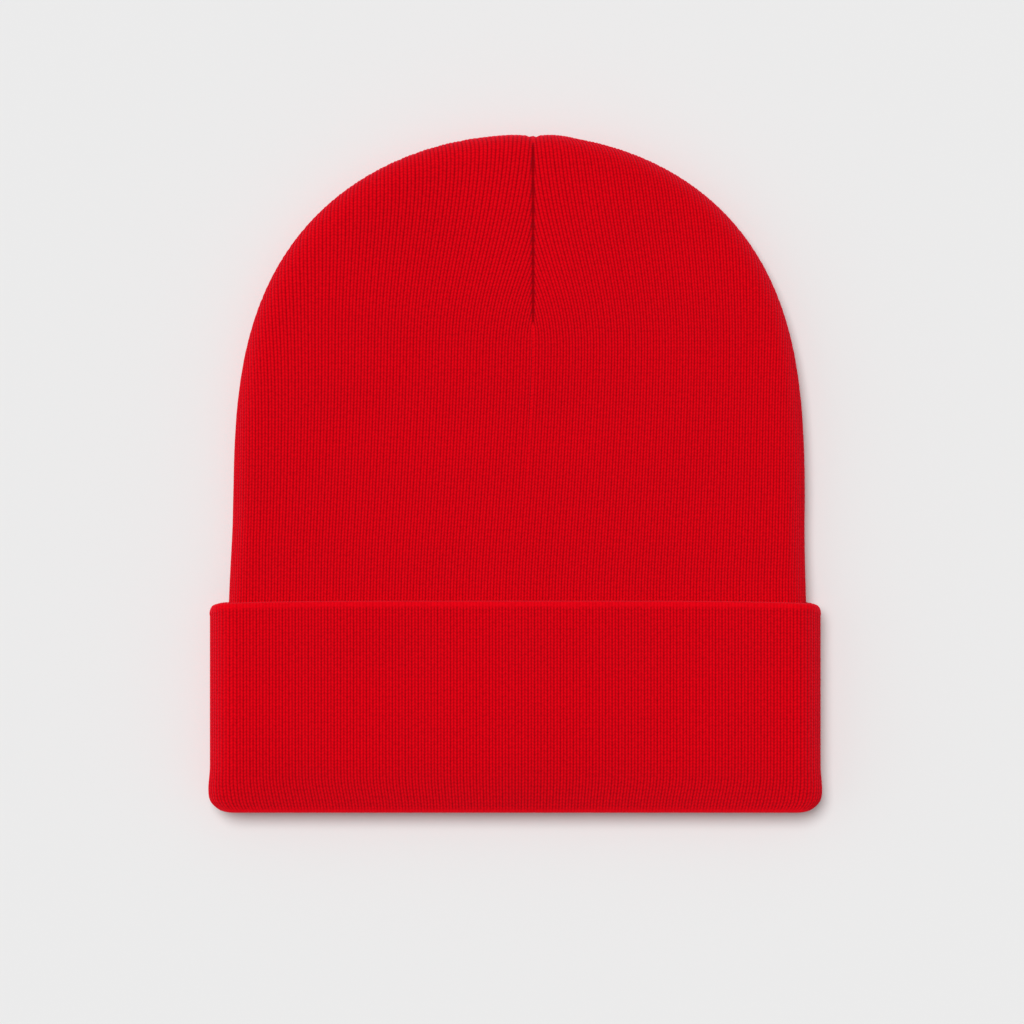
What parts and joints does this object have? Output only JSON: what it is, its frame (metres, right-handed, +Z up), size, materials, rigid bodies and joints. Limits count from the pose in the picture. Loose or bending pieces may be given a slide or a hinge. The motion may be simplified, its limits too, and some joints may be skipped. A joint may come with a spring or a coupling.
{
  "type": "cuffed rib-knit beanie",
  "caption": "Cuffed rib-knit beanie lying flat: a two-ply knitted body closed by crown darts, with its open end turned up as a deep cuff that slides down.",
  "frame": {"origin": "on the surface that the hat lies on, below the middle of its box", "axes": "+X across the hat, +Y from the mouth to the crown, +Z up out of the front face"},
  "size_m": [0.2162, 0.24, 0.0204],
  "materials": {
    "rib_knit": "matt rib-knit acrylic, bright red",
    "sewing_thread": "spun polyester thread, dark red"
  },
  "bodies": {
    "hat": {"outer_ply": "rib_knit", "lining_ply": "rib_knit", "crown_tack": "sewing_thread", "shell_front_dart_thread": "sewing_thread", "shell_back_dart_thread": "sewing_thread", "shell_right_dart_thread": "sewing_thread", "shell_left_dart_thread": "sewing_thread", "lining_front_dart_thread": "sewing_thread", "lining_back_dart_thread": "sewing_thread", "lining_right_dart_thread": "sewing_thread", "lining_left_dart_thread": "sewing_thread"},
    "cuff": {"cuff_face_ply": "rib_knit", "cuff_backing_ply": "rib_knit"}
  },
  "joints": [
    {"name": "cuff_turn_down", "type": "slide", "parent": "hat", "child": "cuff", "axis": [0, -1, 0], "range_m": [0, 0.066]}
  ]
}
